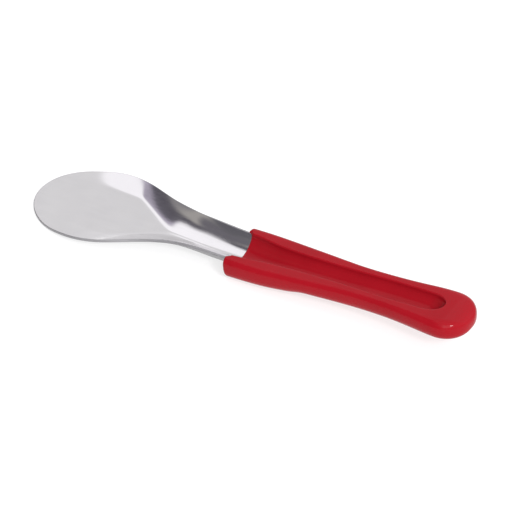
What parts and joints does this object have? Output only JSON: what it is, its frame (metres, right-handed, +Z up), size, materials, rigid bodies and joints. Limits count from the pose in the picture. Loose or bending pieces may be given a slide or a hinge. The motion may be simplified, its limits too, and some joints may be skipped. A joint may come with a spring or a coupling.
{
  "type": "gelato spatula",
  "caption": "Gelato spatula: an oval pressed steel blade with curled sides and a trough neck, in a grooved plastic handle.",
  "frame": {"origin": "on the counter, under the middle of the spatula's length and width", "axes": "+Z up as it lies on a counter, +X from the blade to the handle's rear end, +Y to the side"},
  "size_m": [0.2596, 0.0608, 0.0239],
  "materials": {
    "polished_steel": "bright polished stainless steel",
    "red_plastic": "satin moulded plastic"
  },
  "bodies": {
    "root": {"blade": "polished_steel", "handle": "red_plastic"}
  },
  "joints": []
}
